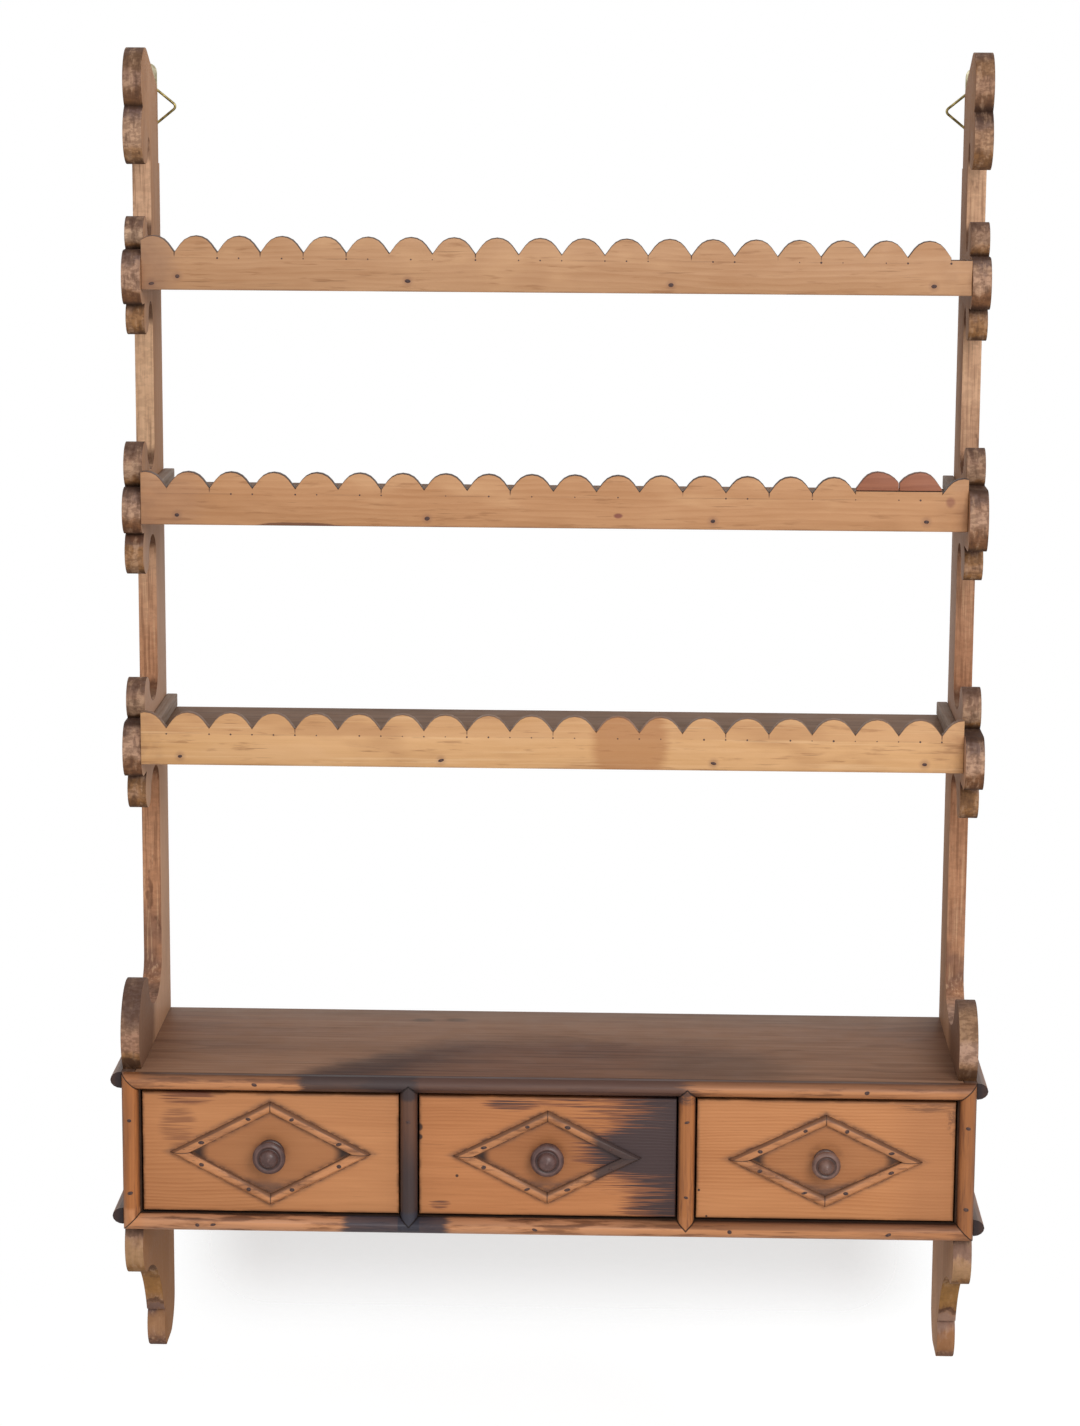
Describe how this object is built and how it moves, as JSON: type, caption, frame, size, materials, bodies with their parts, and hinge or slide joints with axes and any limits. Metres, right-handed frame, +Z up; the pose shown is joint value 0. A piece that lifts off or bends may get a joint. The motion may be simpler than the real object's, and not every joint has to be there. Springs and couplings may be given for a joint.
{
  "type": "hanging shelf",
  "caption": "Wooden wall shelf with scroll-cut sides, scalloped gallery shelves above a case of drawers with diamond mouldings and turned knobs, hung by wire rings.",
  "frame": {"origin": "middle of the rear face of the case's back board, on the wall plane", "axes": "+X to the right seen from the front, +Y into the wall, +Z up"},
  "size_m": [0.7186, 0.224, 1.1175],
  "materials": {
    "side_pine": "old waxed pine, worn",
    "shelf_pine": "old grey-brown pine, worn",
    "rail_pine": "honey-coloured waxed pine",
    "patch_wood": "red-brown wood, waxed",
    "case_pine": "dark worn pine",
    "strip_pine": "orange-brown waxed pine, darkened",
    "drawer_pine": "orange-tan waxed pine",
    "drawer_box_pine": "bare pine",
    "knob_wood": "dark turned wood, satin",
    "plate_metal": "pale plated steel",
    "ring_metal": "dull plated wire",
    "screw_steel": "bare steel"
  },
  "bodies": {
    "carcass": {"side_left": "side_pine", "side_right": "side_pine", "shelf_upper": "shelf_pine", "shelf_middle": "shelf_pine", "shelf_lower": "shelf_pine", "cleat_middle_left": "shelf_pine", "cleat_middle_right": "shelf_pine", "cleat_lower_left": "shelf_pine", "cleat_lower_right": "shelf_pine", "gallery_upper": "rail_pine", "gallery_middle": "rail_pine", "gallery_lower": "rail_pine", "gallery_patch_inner": "patch_wood", "gallery_patch_outer": "patch_wood", "case_top": "case_pine", "case_bottom": "case_pine", "case_back": "case_pine", "partition_left": "case_pine", "partition_right": "case_pine", "front_strip_top": "strip_pine", "front_strip_bottom": "strip_pine", "front_strip_left": "strip_pine", "front_strip_right": "strip_pine", "partition_strip_left": "strip_pine", "partition_strip_right": "strip_pine", "side_moulding_top_left": "strip_pine", "side_moulding_top_right": "strip_pine", "side_moulding_bottom_left": "strip_pine", "side_moulding_bottom_right": "strip_pine", "hanger_plate_left": "plate_metal", "hanger_screw_lower_left": "screw_steel", "hanger_screw_upper_left": "screw_steel", "hanger_plate_right": "plate_metal", "hanger_screw_lower_right": "screw_steel", "hanger_screw_upper_right": "screw_steel"},
    "drawer_left": {"drawer_left_front": "drawer_pine", "drawer_left_side_left": "drawer_box_pine", "drawer_left_side_right": "drawer_box_pine", "drawer_left_back": "drawer_box_pine", "drawer_left_bottom": "drawer_box_pine", "drawer_left_diamond": "strip_pine", "drawer_left_knob": "knob_wood"},
    "drawer_middle": {"drawer_middle_front": "drawer_pine", "drawer_middle_side_left": "drawer_box_pine", "drawer_middle_side_right": "drawer_box_pine", "drawer_middle_back": "drawer_box_pine", "drawer_middle_bottom": "drawer_box_pine", "drawer_middle_diamond": "strip_pine", "drawer_middle_knob": "knob_wood"},
    "drawer_right": {"drawer_right_front": "drawer_pine", "drawer_right_side_left": "drawer_box_pine", "drawer_right_side_right": "drawer_box_pine", "drawer_right_back": "drawer_box_pine", "drawer_right_bottom": "drawer_box_pine", "drawer_right_diamond": "strip_pine", "drawer_right_knob": "knob_wood"},
    "ring_left": {"hanger_ring_left": "ring_metal"},
    "ring_right": {"hanger_ring_right": "ring_metal"}
  },
  "joints": [
    {"name": "drawer_left_slide", "type": "slide", "parent": "carcass", "child": "drawer_left", "axis": [0, -1, 0], "range_m": [0, 0.12]},
    {"name": "drawer_middle_slide", "type": "slide", "parent": "carcass", "child": "drawer_middle", "axis": [0, -1, 0], "range_m": [0, 0.12]},
    {"name": "drawer_right_slide", "type": "slide", "parent": "carcass", "child": "drawer_right", "axis": [0, -1, 0], "range_m": [0, 0.12]},
    {"name": "ring_left_hinge", "type": "hinge", "parent": "carcass", "child": "ring_left", "pos_m": [-0.34235, -0.0022, 0.8435], "axis": [0, 0, 1], "range_deg": [0, 180]},
    {"name": "ring_right_hinge", "type": "hinge", "parent": "carcass", "child": "ring_right", "pos_m": [0.34235, -0.0022, 0.8435], "axis": [0, 0, -1], "range_deg": [0, 180]}
  ]
}
